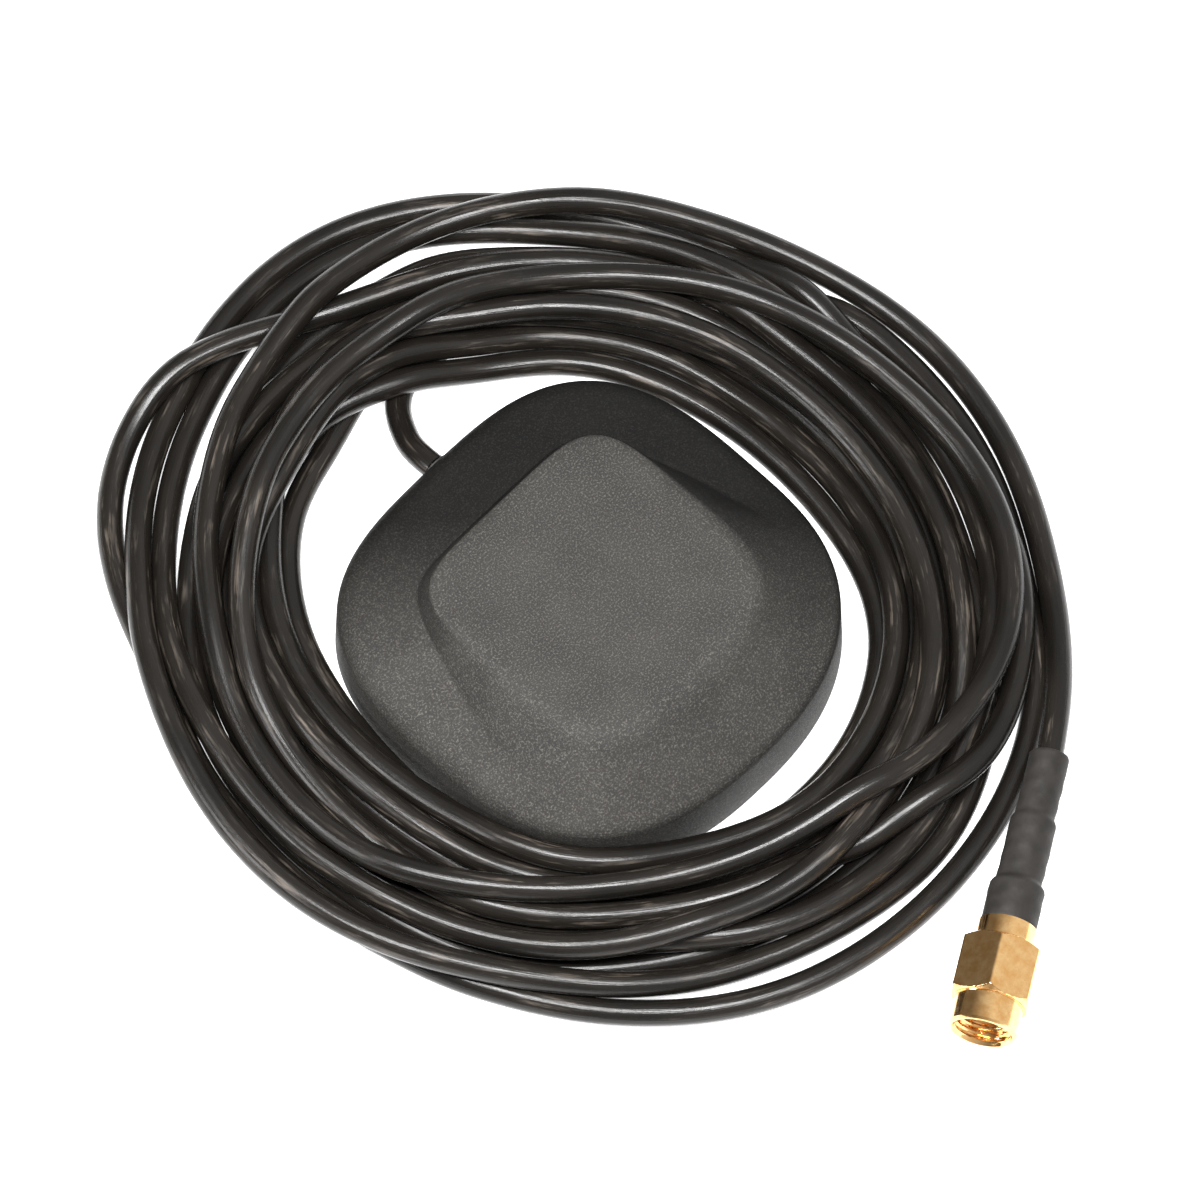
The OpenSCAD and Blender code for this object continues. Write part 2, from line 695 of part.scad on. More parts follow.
// Shrunk sleeve: it follows the shoulder, the ferrule and then the jacket in steps
module heat_shrink() {
    wide = shoulder_d/2;
    mid = ferrule_d/2;
    thin = cable_d/2;
    lip = 0.7;                 // the glue-lined wall stays thicker over the jacket
    step = 0.6;
    color("#3b3735") on_axis() rotate_extrude() polygon([
        [wide, collar_end], [wide + sleeve_t, collar_end],
        [wide + sleeve_t, ferrule_s - step], [mid + sleeve_t, ferrule_s + step],
        [mid + sleeve_t, jacket_s - step], [thin + lip, jacket_s + step],
        [thin + lip, sleeve_end - 0.4], [thin + lip - 0.3, sleeve_end], [thin, sleeve_end],
        [thin, jacket_s], [mid, jacket_s], [mid, ferrule_s], [wide, ferrule_s]]);
}

housing_cover();
base_plate();
foot_pad();
magnet();
base_screws();
seal_ring();
circuit_board();
patch_tape();
ceramic_patch();
patch_silver();
feed_pin();
shield_can();
filter_block();
amplifier_chips();
chip_parts();
solder_joints();
cable_grommet();
lead_jacket();
lead_braid();
lead_core();
lead_wire();
cord_lead();
cord_coil();
cord_loop();
cord_tail();
heat_shrink();
crimp_ferrule();
tail_braid();
tail_core();
tail_wire();
plug_body();
plug_insulator();
plug_pin();
snap_ring();
plug_gasket();
coupling_nut();
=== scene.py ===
import bpy
import json
import math
import numpy as np
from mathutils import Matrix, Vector


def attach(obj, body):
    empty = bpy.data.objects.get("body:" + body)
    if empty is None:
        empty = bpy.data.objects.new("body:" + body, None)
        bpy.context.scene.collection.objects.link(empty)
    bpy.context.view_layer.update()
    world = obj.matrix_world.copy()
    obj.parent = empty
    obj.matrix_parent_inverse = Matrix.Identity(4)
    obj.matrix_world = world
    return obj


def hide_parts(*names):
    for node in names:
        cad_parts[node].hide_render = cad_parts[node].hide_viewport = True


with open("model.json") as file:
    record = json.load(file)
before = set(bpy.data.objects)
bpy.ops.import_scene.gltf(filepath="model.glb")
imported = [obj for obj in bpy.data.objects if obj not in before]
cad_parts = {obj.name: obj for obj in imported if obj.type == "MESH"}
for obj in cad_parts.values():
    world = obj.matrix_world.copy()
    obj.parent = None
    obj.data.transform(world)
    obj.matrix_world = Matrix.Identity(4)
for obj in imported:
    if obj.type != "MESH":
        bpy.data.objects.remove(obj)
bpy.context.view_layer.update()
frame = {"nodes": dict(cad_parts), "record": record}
nodes = frame["nodes"]
print("stage: frame loaded")

mm = 0.001
randomDraws = np.random.default_rng(7)


# Helpers for materials

def toLinear(code):
    # sRGB hex to linear light: the low part is a straight line, the rest a power of 2.4
    channels = [int(code[k:k + 2], 16) / 255 for k in (1, 3, 5)]
    return [c / 12.92 if c <= 0.04045 else ((c + 0.055) / 1.055) ** 2.4 for c in channels] + [1.0]


def addNode(tree, kind, settings=None, inputs=None):
    # Sets the node's own settings, then each input to a value or links it from a socket
    node = tree.nodes.new(kind)
    for name, value in (settings or {}).items():
        setattr(node, name, value)
    for name, value in (inputs or {}).items():
        socket = node.inputs[name]
        if isinstance(value, bpy.types.NodeSocket):
            tree.links.new(value, socket)
        else:
            socket.default_value = value
    return node


def newMaterial(name):
    material = bpy.data.materials.new(name)
    material.use_nodes = True
    tree = material.node_tree
    tree.nodes.clear()
    return material, tree


def finishMaterial(tree, inputs):
    shader = addNode(tree, "ShaderNodeBsdfPrincipled", None, inputs)
    addNode(tree, "ShaderNodeOutputMaterial", None, {"Surface": shader.outputs["BSDF"]})


def spaceIn(tree, attribute=None, stretch=(1, 1, 1)):
    # Coordinates in millimetres: the object's own, or a stored attribute's
    if attribute:
        source = addNode(tree, "ShaderNodeAttribute", {"attribute_name": attribute}).outputs["Vector"]
        scale = stretch
    else:
        source = addNode(tree, "ShaderNodeTexCoord").outputs["Object"]
        scale = [s / mm for s in stretch]
    return addNode(tree, "ShaderNodeMapping", None,
                   {"Vector": source, "Scale": scale}).outputs["Vector"]


def noiseOf(tree, space, grain, detail=3.0, roughness=0.55):
    # grain is the pattern's size in millimetres
    return addNode(tree, "ShaderNodeTexNoise", None,
                   {"Vector": space, "Scale": 1 / grain, "Detail": detail,
                    "Roughness": roughness}).outputs["Fac"]


def rangeOf(tree, value, low, high, outLow, outHigh):
    return addNode(tree, "ShaderNodeMapRange", {"clamp": True},
                   {"Value": value, "From Min": low, "From Max": high,
                    "To Min": outLow, "To Max": outHigh}).outputs["Result"]


def mixOf(tree, factor, first, second):
    mix = addNode(tree, "ShaderNodeMix", {"data_type": "RGBA"})
    for socket, value in ((mix.inputs[0], factor), (mix.inputs[6], first), (mix.inputs[7], second)):
        if isinstance(value, bpy.types.NodeSocket):
            tree.links.new(value, socket)
        else:
            socket.default_value = value
    return mix.outputs[2]


def bumpOf(tree, height, depth, strength=1.0, normal=None):
    # depth is the pattern's height in millimetres
    inputs = {"Height": height, "Distance": depth * mm, "Strength": strength}
    if normal:
        inputs["Normal"] = normal
    return addNode(tree, "ShaderNodeBump", None, inputs).outputs["Normal"]


# Plain finishes: two close colours in a cloudy mix, a fine grain in gloss and height
plainFinishes = {
    # dull grey-black of a plain moulded underside
    "base_plastic": dict(dark="#242423", light="#2e2d2c", cloud=4, grain=0.3, rough=(0.5, 0.62), depth=0.01),
    # flat black with the tiny pits of a foam film
    "pad_film": dict(dark="#191919", light="#232322", cloud=3, grain=0.25, rough=(0.75, 0.9), depth=0.03),
    # cool dull silver of nickel plate
    "magnet_nickel": dict(dark="#85888b", light="#a9acae", cloud=3, grain=0.2, rough=(0.25, 0.4), depth=0.004, metal=1.0),
    # bluish silver of zinc plate
    "screw_steel": dict(dark="#a2a7ab", light="#c3c6c8", cloud=1, grain=0.1, rough=(0.22, 0.35), depth=0.003, metal=1.0),
    # soft matte black of moulded rubber
    "seal_rubber": dict(dark="#171716", light="#222120", cloud=2, grain=0.2, rough=(0.6, 0.75), depth=0.01),
    # glossy green of a solder mask over woven glass
    "board_laminate": dict(dark="#16512f", light="#1f6a40", cloud=5, grain=0.5, rough=(0.22, 0.34), depth=0.01),
    # creamy dull adhesive film
    "adhesive_sheet": dict(dark="#c7c2b2", light="#ddd9cc", cloud=4, grain=0.3, rough=(0.55, 0.7), depth=0.01),
    # pinkish brown of fired ceramic with fine specks
    "patch_ceramic": dict(dark="#a07d5c", light="#c29c76", cloud=2, grain=0.08, rough=(0.4, 0.6), depth=0.006),
    # pale silver paint with a screen's faint weave
    "silver_face": dict(dark="#c3c2bd", light="#dcdbd6", cloud=3, grain=0.12, rough=(0.3, 0.45), depth=0.004, metal=1.0),
    # warm plated pin
    "pin_metal": dict(dark="#c4a154", light="#e0c27c", cloud=1, grain=0.08, rough=(0.2, 0.3), depth=0.002, metal=1.0),
    # bright tinned sheet with rolling marks
    "tin_plate": dict(dark="#aeb1b3", light="#cfd1d2", cloud=3, grain=0.15, rough=(0.2, 0.34), depth=0.003, metal=1.0),
    # pale ceramic lid
    "filter_ceramic": dict(dark="#9d998c", light="#b8b4a8", cloud=1, grain=0.1, rough=(0.35, 0.5), depth=0.003),
    # near-black moulded epoxy
    "chip_plastic": dict(dark="#161617", light="#212123", cloud=0.6, grain=0.05, rough=(0.45, 0.6), depth=0.002),
    # brown chip capacitors
    "chip_ceramic": dict(dark="#7d6a4c", light="#9a8660", cloud=0.5, grain=0.06, rough=(0.4, 0.55), depth=0.002),
    # bright rounded solder
    "solder": dict(dark="#a9adb0", light="#cbced0", cloud=0.8, grain=0.1, rough=(0.18, 0.3), depth=0.004, metal=1.0),
    # coppery woven wires
    "braid_copper": dict(dark="#8f6234", light="#c79458", cloud=0.3, grain=0.12, rough=(0.3, 0.45), depth=0.05, metal=1.0),
    # milky white insulation
    "cable_core": dict(dark="#dedacd", light="#efece2", cloud=1, grain=0.2, rough=(0.35, 0.45), depth=0.003),
    # bare copper wire
    "wire_copper": dict(dark="#b36f37", light="#d0935c", cloud=0.5, grain=0.1, rough=(0.22, 0.35), depth=0.003, metal=1.0),
    # clean white turned insulator with a waxy look
    "plug_insulation": dict(dark="#e3dfd2", light="#f3f0e8", cloud=1, grain=0.12, rough=(0.35, 0.5), depth=0.004),
    # plated spring ring
    "spring_metal": dict(dark="#9b9d9e", light="#bfc1c2", cloud=0.5, grain=0.06, rough=(0.25, 0.4), depth=0.002, metal=1.0),
    # brick red moulded silicone
    "gasket_rubber": dict(dark="#9c3e26", light="#b9513a", cloud=1, grain=0.12, rough=(0.5, 0.65), depth=0.005),
}


def plainMaterial(name, user):
    material, tree = newMaterial(name)
    space = spaceIn(tree)
    cloud = noiseOf(tree, space, user["cloud"])
    grain = noiseOf(tree, space, user["grain"], 2.0)
    colour = mixOf(tree, rangeOf(tree, cloud, 0.35, 0.65, 0, 1),
                   toLinear(user["dark"]), toLinear(user["light"]))
    finishMaterial(tree, {
        "Base Color": colour,
        "Metallic": user.get("metal", 0.0),
        "Roughness": rangeOf(tree, grain, 0.3, 0.7, *user["rough"]),
        "Normal": bumpOf(tree, grain, user["depth"])})
    return material


materials = {name: plainMaterial(name, user) for name, user in plainFinishes.items()}

housingLook = {
    "dark": "#2b2a29", "light": "#333230", "glintTone": "#6b6862",
    "crown": 1.05,        # how much paler the crown is painted: partly its coarser texture, partly painted light
    "shelf": 0.2,         # how much darker painted shade makes the shelf behind the crown
    "grain": 0.2,         # spark-eroded grain, in mm
    "grainDepth": 0.05,
    "roughLow": 0.45, "roughHigh": 0.62,
}


def housingMaterial(user):
    # Satin dark grey with a sandy grain that catches light as fine flecks, painted in as pale glints, and faint rubbed
    # clouds
    material, tree = newMaterial("housing_plastic")
    space = spaceIn(tree)
    grain = noiseOf(tree, space, user["grain"], 4.0, 0.7)
    fine = noiseOf(tree, space, user["grain"] / 3, 2.0)
    cloud = noiseOf(tree, space, 7, 3.0)
    base = mixOf(tree, rangeOf(tree, cloud, 0.3, 0.7, 0, 1),
                 toLinear(user["dark"]), toLinear(user["light"]))
    # Painted glints: the grain's high spots are mixed towards a pale grey
    paintedGlints = rangeOf(tree, grain, 0.5, 0.72, 0, 0.7)
    colour = mixOf(tree, paintedGlints, base, toLinear(user["glintTone"]))
    # Painted light and shade: the flat top is painted a little paler, partly for its coarser blast and partly as
    # painted light; off the top, painted shade darkens the housing towards the back, over the shelf behind the crown
    place = addNode(tree, "ShaderNodeSeparateXYZ", None, {0: space})
    backward = addNode(tree, "ShaderNodeMath", {"operation": "ADD"},
                       {0: place.outputs[0], 1: place.outputs[1]}).outputs[0]
    shadeTowardsBack = rangeOf(tree, backward, -9, 14, 0, 1)
    onCrown = rangeOf(tree, place.outputs[2], 14.3, 14.7, 0, 1)
    # Painted shade: off the crown, the colour is multiplied down to the shelf factor towards the back
    shelf = mixOf(tree, shadeTowardsBack, (1, 1, 1, 1), (user["shelf"],) * 3 + (1,))
    blastPaintedLightAndShade = mixOf(tree, onCrown, shelf, (user["crown"],) * 3 + (1,))
    colour = addNode(tree, "ShaderNodeMix", {"data_type": "RGBA", "blend_type": "MULTIPLY"},
                     {0: 1.0, 6: colour, 7: blastPaintedLightAndShade}).outputs[2]
    rough = rangeOf(tree, grain, 0.3, 0.7, user["roughHigh"], user["roughLow"])
    normal = bumpOf(tree, grain, user["grainDepth"],
                    normal=bumpOf(tree, fine, user["grainDepth"] / 3))
    finishMaterial(tree, {"Base Color": colour, "Roughness": rough, "Normal": normal,
                          "Specular IOR Level": 0.1})
    return material


materials["housing_plastic"] = housingMaterial(housingLook)

cableLook = {
    "dark": "#110f0d", "light": "#1b1815", "scuff": "#6a6158",
    "roughLow": 0.19, "roughHigh": 0.34,
    "dieLine": 0.22,      # width of the lines left by the extruder's die, in mm
    "dieDepth": 0.03,
}


def cableMaterial(user):
    # Satin black vinyl: long thin die lines, slow changes of gloss, pale rubbed streaks along it
    material, tree = newMaterial("cable_jacket")
    lines = noiseOf(tree, spaceIn(tree, "alongCord", (1, 1, 0.02)), user["dieLine"], 2.0)
    slow = noiseOf(tree, spaceIn(tree, "alongCord", (1, 1, 0.25)), 3, 3.0)
    streak = noiseOf(tree, spaceIn(tree, "alongCord", (1, 1, 0.08)), 0.5, 4.0, 0.65)
    fine = noiseOf(tree, spaceIn(tree, "alongCord", (1, 1, 0.5)), 0.18, 3.0)
    base = mixOf(tree, rangeOf(tree, slow, 0.35, 0.65, 0, 1),
                 toLinear(user["dark"]), toLinear(user["light"]))
    rubbed = addNode(tree, "ShaderNodeMath", {"operation": "MULTIPLY"},
                     {0: rangeOf(tree, streak, 0.56, 0.7, 0, 1),
                      1: rangeOf(tree, slow, 0.45, 0.62, 0, 0.6)}).outputs[0]
    colour = mixOf(tree, rubbed, base, toLinear(user["scuff"]))
    rough = rangeOf(tree, streak, 0.3, 0.7, user["roughLow"], user["roughHigh"])
    normal = bumpOf(tree, lines, user["dieDepth"], normal=bumpOf(tree, fine, user["dieDepth"] / 3))
    finishMaterial(tree, {"Base Color": colour, "Roughness": rough, "Normal": normal,
                          "Specular IOR Level": 0.25})
    return material


materials["cable_jacket"] = cableMaterial(cableLook)

sleeveLook = {
    "dark": "#22201e", "light": "#2c2927",
    "roughLow": 0.5, "roughHigh": 0.68,
    "ripple": 1.1,        # size of the soft ripples left by the heat gun, in mm
    "rippleDepth": 0.05,
}


def sleeveMaterial(user):
    # Matte charcoal tube, softly rippled where it shrank, with a dusty grain
    material, tree = newMaterial("sleeve_plastic")
    space = spaceIn(tree)
    ripple = noiseOf(tree, space, user["ripple"], 2.0)
    grain = noiseOf(tree, space, 0.12, 3.0)
    colour = mixOf(tree, rangeOf(tree, noiseOf(tree, space, 2.2), 0.35, 0.65, 0, 1),
                   toLinear(user["dark"]), toLinear(user["light"]))
    normal = bumpOf(tree, ripple, user["rippleDepth"], normal=bumpOf(tree, grain, 0.008))
    finishMaterial(tree, {"Base Color": colour, "Normal": normal, "Specular IOR Level": 0.2,
                          "Roughness": rangeOf(tree, grain, 0.3, 0.7, user["roughLow"], user["roughHigh"])})
    return material


materials["sleeve_plastic"] = sleeveMaterial(sleeveLook)

goldLook = {
    "dark": "#e0ac6c", "light": "#edc48a", "worn": "#c9945a",
    "roughLow": 0.12, "roughHigh": 0.22,
    "turning": 0.09,      # pitch of the lathe's marks, in mm
}


def goldMaterial(user):
    # Warm gold plate over turned brass: mirror-like with fine lathe marks and dull handled spots
    material, tree = newMaterial("gold_plate")
    space = spaceIn(tree)
    spots = noiseOf(tree, space, 1.3, 4.0, 0.6)
    marks = noiseOf(tree, space, user["turning"], 1.0)
    warm = mixOf(tree, rangeOf(tree, spots, 0.35, 0.65, 0, 1),
                 toLinear(user["dark"]), toLinear(user["light"]))
    colour = mixOf(tree, rangeOf(tree, spots, 0.62, 0.78, 0, 0.4), warm, toLinear(user["worn"]))
    rough = rangeOf(tree, spots, 0.35, 0.7, user["roughLow"], user["roughHigh"])
    finishMaterial(tree, {"Base Color": colour, "Metallic": 1.0, "Roughness": rough,
                          "Normal": bumpOf(tree, marks, 0.0012)})
    return material


materials["gold_plate"] = goldMaterial(goldLook)

for part in frame["record"]["subparts"]:
    mesh = nodes[part["node"]].data
    mesh.materials.clear()
    mesh.materials.append(materials[part["material_slot"]])
print("stage: materials made")


# Helpers for meshes

def addPiece(name, points, faces, slotName, body, flatAngle=40, attribute=None):
    # points are in mm; faces is one array of quads
    mesh = bpy.data.meshes.new(name)
    mesh.from_pydata((np.asarray(points) * mm).tolist(), [], faces.tolist())
    mesh.validate()
    mesh.update()
    if attribute is not None:
        layer = mesh.attributes.new(attribute[0], "FLOAT_VECTOR", "POINT")
        layer.data.foreach_set("vector", np.asarray(attribute[1], dtype=np.float32).ravel())
    mesh.shade_smooth()
    if flatAngle < 180:
        mesh.set_sharp_from_angle(angle=math.radians(flatAngle))
    mesh.materials.append(materials[slotName])
    piece = bpy.data.objects.new(name, mesh)
    bpy.context.collection.objects.link(piece)
    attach(piece, body)
    return piece


def gridFaces(rows, columns, closeRows=False):
    # Quads between neighbouring rows of a sheet of points whose columns close on themselves
    last = rows if closeRows else rows - 1
    row, column = np.meshgrid(np.arange(last), np.arange(columns), indexing="ij")
    nextRow, nextColumn = (row + 1) % rows, (column + 1) % columns
    return np.stack([row * columns + column, nextRow * columns + column,
                     nextRow * columns + nextColumn, row * columns + nextColumn],
                    axis=-1).reshape(-1, 4)


def smoothStep(value):
    value = np.clip(value, 0, 1)
    return value * value * (3 - 2 * value)


# Moulded cover

coverUser = {
    "width": 47.5, "length": 48, "height": 15, "rim": 9.4, "edge": 3, "edgeFront": 1.9, "draft": 0.15,
    "foot": 0.3, "skirt": 1.1, "ledge": 2.3,
    "crownWidth": 28.2, "crownLength": 28.5, "crownY": -0.8,
    "stepBack": 15.2, "stepSide": 19, "taper": 0.43,
    "shelfSlope": 0.22, "frontStart": 0.1, "frontFull": 0.5,
    "columns": 288,
}


def coverOutline(angle, inset=0.0):
    # (|cos|/half width)^n + (|sin|/half length)^n, to the power -1/n; n grows towards the back
    u = coverUser
    power = 2.77 + 0.33 * np.sin(angle)
    return ((np.abs(np.cos(angle)) / (u["width"] / 2 - inset)) ** power
            + (np.abs(np.sin(angle)) / (u["length"] / 2 - inset)) ** power) ** (-1 / power)


def edgeRadius(angle):
    # Rounder at the back and sides, tighter in front
    u = coverUser
    return u["edge"] + (u["edgeFront"] - u["edge"]) * smoothStep(-1.5 * np.sin(angle))


def crownOutline(angle):
    u = coverUser
    reach = u["crownLength"] / 2 + np.where(np.sin(angle) > 0, u["crownY"], -u["crownY"])
    power = 4.3 + 0.9 * np.sin(angle)
    return ((np.abs(np.cos(angle)) / (u["crownWidth"] / 2)) ** power
            + (np.abs(np.sin(angle)) / reach) ** power) ** (-1 / power)


def stepOutline(angle):
    # The step's foot is the nearest of a line behind, two slanting lines beside and the rim
    u = coverUser
    back = np.maximum(0, np.sin(angle) / u["stepBack"])
    side = np.maximum(0, (np.abs(np.cos(angle)) + u["taper"] * np.sin(angle)) / u["stepSide"])
    edge = 1 / (coverOutline(angle, u["draft"] + edgeRadius(angle)) - 0.3)
    return (back ** 12 + side ** 12 + edge ** 12) ** (-1 / 12)


def buildCover():
    u = coverUser
    angle = np.arange(u["columns"]) * 2 * math.pi / u["columns"]
    rounding = edgeRadius(angle)
    rim = coverOutline(angle, u["draft"] + rounding)
    foot, crown = stepOutline(angle), crownOutline(angle)
    tilt = u["shelfSlope"]
    shelf = lambda radius: (u["rim"] + tilt * (rim - radius)
                            + rounding * (math.hypot(1, tilt) - 1))
    rings = []
    lip = 0.25
    rings.append((coverOutline(angle, u["skirt"]), u["ledge"] + 0 * angle))
    rings.append((coverOutline(angle, u["skirt"]), u["foot"] + 0 * angle))
    for t in np.linspace(0, math.pi / 2, 4):
        rings.append((coverOutline(angle, lip * (1 - math.sin(t))),
                      u["foot"] + lip * (1 - math.cos(t)) + 0 * angle))
    for f in (0.33, 0.66):
        rings.append((coverOutline(angle, u["draft"] * f),
                      u["foot"] + lip + (u["rim"] - rounding - u["foot"] - lip) * f))
    for t in np.linspace(0, math.pi / 2 - math.atan(tilt), 14):
        rings.append((coverOutline(angle, u["draft"] + rounding * (1 - math.cos(t))),
                      u["rim"] - rounding * (1 - math.sin(t))))
    for f in (0.25, 0.5, 0.75, 0.92):
        radius = rim + (foot - rim) * f
        rings.append((radius, shelf(radius)))
    low = shelf(foot)
    top = u["height"] - 0.35
    for f in np.linspace(0, 1, 19):
        radius = foot + (crown - foot) * f
        rise = 0.5 * f + 0.5 * smoothStep(f)
        # Soft toe at the step's foot: the first part of the rise starts level
        rise = rise * smoothStep(f / 0.3) if f < 0.3 else rise
        rings.append((radius, low + (top - low) * rise))
    # In front a straight slope from the crown's edge to the rim's rounding takes over
    turned = math.radians(50)
    share = smoothStep((-np.sin(angle) - u["frontStart"]) / (u["frontFull"] - u["frontStart"]))
    edge = coverOutline(angle, u["draft"] + rounding * (1 - math.cos(turned)))
    drop = top - u["rim"] + rounding * (1 - math.sin(turned))
    for k, (radius, z) in enumerate(rings):
        slope = top - drop * (radius - crown) / (edge - crown)
        rings[k] = (radius, np.where((radius < edge) & (z > 0.6 * u["rim"]),
                                     z + share * np.maximum(0, slope - z), z))
    for inset, drop in ((0.3, 0.2), (0.6, 0.1), (1.0, 0.04), (1.6, 0.01), (3.5, 0)):
        rings.append((crown - inset, u["height"] - drop + 0 * angle))
    for f in (0.6, 0.4, 0.2, 0.02):
        rings.append((crown * f, u["height"] + 0 * angle))
    rings.append((0 * crown, u["height"] + 0 * angle))
    points = np.array([np.stack([r * np.cos(angle), r * np.sin(angle), z], axis=-1) for r, z in rings])
    faces = gridFaces(len(rings), u["columns"])
    return addPiece("cover_shell", points.reshape(-1, 3), faces, "housing_plastic", "antenna", 60)


cover = buildCover()
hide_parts("housing_cover")
print("stage: cover built")


# Lead

cordUser = {
    "diameter": 2.8, "centre": (-0.5, 1.5), "spacing": 1.5, "sides": 16,
    "exit": (1, 24, 5.6),
    "declared": 3.0,
}
leadRoute = [(1, 24, 5.6), (1, 25.2, 5.6), (1.2, 27, 4.9), (1.8, 29, 3.8), (2.8, 30.8, 2.8),
             (4.3, 33.2, 1.9), (6.6, 35.3, 1.5), (9.8, 36.9, 1.4)]
# Bearings at which each turn passes the rows below, in degrees, and the turns themselves:
# distance from the coil's middle over height, both in mm
bearings = (90, 45, 0, -45, -90, -135, -180, -225)
turns = [
    ((38.6, 37.0, 33.6, 34.6, 33.4, 31.0, 29.4, 33.6), (1.4, 1.4, 1.4, 1.4, 1.4, 1.4, 1.4, 2.6)),
    ((34.8, 30.6, 28.6, 32.0, 30.4, 27.9, 25.5, 31.0), (5.4, 4.4, 1.4, 1.4, 1.4, 1.4, 1.4, 1.4)),
    ((36.2, 36.2, 36.0, 37.8, 37.0, 34.0, 33.4, 36.6), (1.4, 4.2, 2.0, 1.4, 1.4, 1.4, 1.4, 1.4)),
    ((41.4, 41.6, 44.2, 48.0, 47.0, 42.2, 40.4, 44.9), (1.4, 1.4, 1.4, 1.4, 1.4, 1.4, 1.4, 1.4)),
    ((46.0, 40.4, 38.6, 40.2, 40.2, 37.4, 38.0, 40.0), (6.0, 5.6, 3.9, 3.9, 3.9, 1.6, 1.4, 1.4)),
    ((40.6, 39.4, 39.6, 41.6, 42.2, 40.4, 41.9, 44.6), (1.6, 1.4, 1.4, 1.4, 1.4, 4.0, 4.0, 4.0)),
    ((50.2, 46.6, 42.0, 42.6, 41.4, 36.2, 35.2, 38.4), (1.7, 2.6, 4.0, 3.9, 3.9, 3.9, 3.9, 3.9)),
    ((38.4, 35.2, 33.8, 35.6, 34.2, 30.2, 28.6, 33.6), (3.9, 3.9, 3.9, 3.9, 3.9, 3.9, 3.9, 3.9)),
    ((36.0, 32.8, 31.2, 33.0, 31.2, 27.6, 25.5, 31.8), (6.2, 3.9, 3.9, 3.9, 4.2, 7.4, 4.4, 3.9)),
    ((37.4, 35.0, 33.8, 36.0, 37.5, 37.5, 38.5, 42.4), (6.4, 6.4, 6.4, 6.4, 6.4, 6.4, 6.4, 5.6)),
    ((48.6, 43.8, 41.6, 45.4, 37.4, 34.4, 34.0, 34.8), (4.2, 4.6, 5.4, 4.4, 6.2, 6.2, 6.8, 7.4)),
    ((36.2, 37.2, 41.0, 44.6, 34.6, 31.8, 35.8, 38.2), (8.4, 8.4, 7.0, 5.6, 7.4, 8.0, 8.2, 9.4)),
]
# Stops between those, as turn, bearing, distance and height: the loose loop at the left, the
# outermost strand after it, and two strands that sweep inwards at the lower right
extraStops = [
    (0, 62, 38.2, 1.4), (1, 20, 28.4, 2.4), (1, -20, 29.6, 1.4), (1, -158, 26.2, 1.4),
    (1, -205, 27.2, 1.4), (1, -245, 34.0, 1.4), (2, 20, 36.0, 4.0),
    (3, 20, 42.6, 1.4), (3, -22, 46.4, 1.4),
    (3, -112, 45.4, 1.4), (3, -150, 40.6, 1.4), (3, -205, 42.4, 1.4),
    (3, -230, 46.8, 1.4), (3, -237, 49.4, 1.4), (3, -246, 51.2, 1.5), (3, -255, 51.0, 2.6),
    (3, -263, 49.0, 4.2), (4, 85, 43.6, 6.8), (4, 68, 41.0, 7.0),
    (5, -155, 40.7, 4.0), (5, -238, 46.2, 3.6), (5, -258, 48.6, 2.2), (6, 78, 51.6, 1.5),
    (6, 66, 50.8, 1.4), (8, -112, 29.0, 5.8), (8, -158, 25.9, 6.8),
    (8, -205, 27.6, 3.9),
    (9, -240, 45.0, 4.6), (9, -257, 47.8, 4.2), (10, 76, 48.6, 4.0), (10, 62, 46.6, 4.2),
    (10, -66, 44.2, 4.8), (10, -80, 40.0, 5.8), (10, -107, 35.0, 6.2),
    (11, -67, 40.0, 6.6), (11, -113, 32.2, 7.8), (11, -152, 33.2, 8.0),
    (12, 90, 42.8, 9.6), (12, 68, 45.2, 9.2), (12, 48, 46.3, 7.8), (12, 36, 46.6, 6.6),
]
tailRoute = [(39.4, 24.8, 5.8), (42.6, 19.8, 4.4), (45, 14.4, 3), (46.8, 8.8, 2), (48, 2.8, 1.5),
             (48, -3.4, 1.5), (47, -9.8, 1.5), (45.2, -15.8, 1.5), (42.6, -21.4, 1.5),
             (39.4, -26.4, 1.6), (35.8, -31.4, 2.2), (31.8, -36.2, 3.2), (27, -40.5, 4.4)]

plugUser = {
    "origin": (-5.4, -60.6, 4.7), "yaw": 31,
    "nutLength": 9.9, "collarEnd": 12.2, "ferruleStart": 17, "jacketStart": 24.4, "sleeveEnd": 32,
}


def alongPlug(distance):
    yaw = math.radians(plugUser["yaw"])
    x, y, z = plugUser["origin"]
    return (x + distance * math.cos(yaw), y + distance * math.sin(yaw), z)


def splinePoints(control, spacing):
    # Catmull-Rom curve through the control points, then points at equal distances along it
    control = np.asarray(control, dtype=float)
    padded = np.vstack([2 * control[0] - control[1], control, 2 * control[-1] - control[-2]])
    t = np.linspace(0, 1, 24, endpoint=False)[:, None]
    pieces = []
    for k in range(len(control) - 1):
        a, b, c, d = padded[k:k + 4]
        pieces.append(0.5 * (2 * b + (c - a) * t + (2 * a - 5 * b + 4 * c - d) * t ** 2
                             + (3 * b - a - 3 * c + d) * t ** 3))
    line = np.vstack(pieces + [control[-1:]])
    return resample(line, spacing)


def resample(line, spacing):
    travel = np.concatenate([[0], np.cumsum(np.linalg.norm(np.diff(line, axis=0), axis=1))])
    count = int(round(travel[-1] / spacing)) + 1
    stops = np.linspace(0, travel[-1], count)
    return np.stack([np.interp(stops, travel, line[:, k]) for k in range(3)], axis=-1)


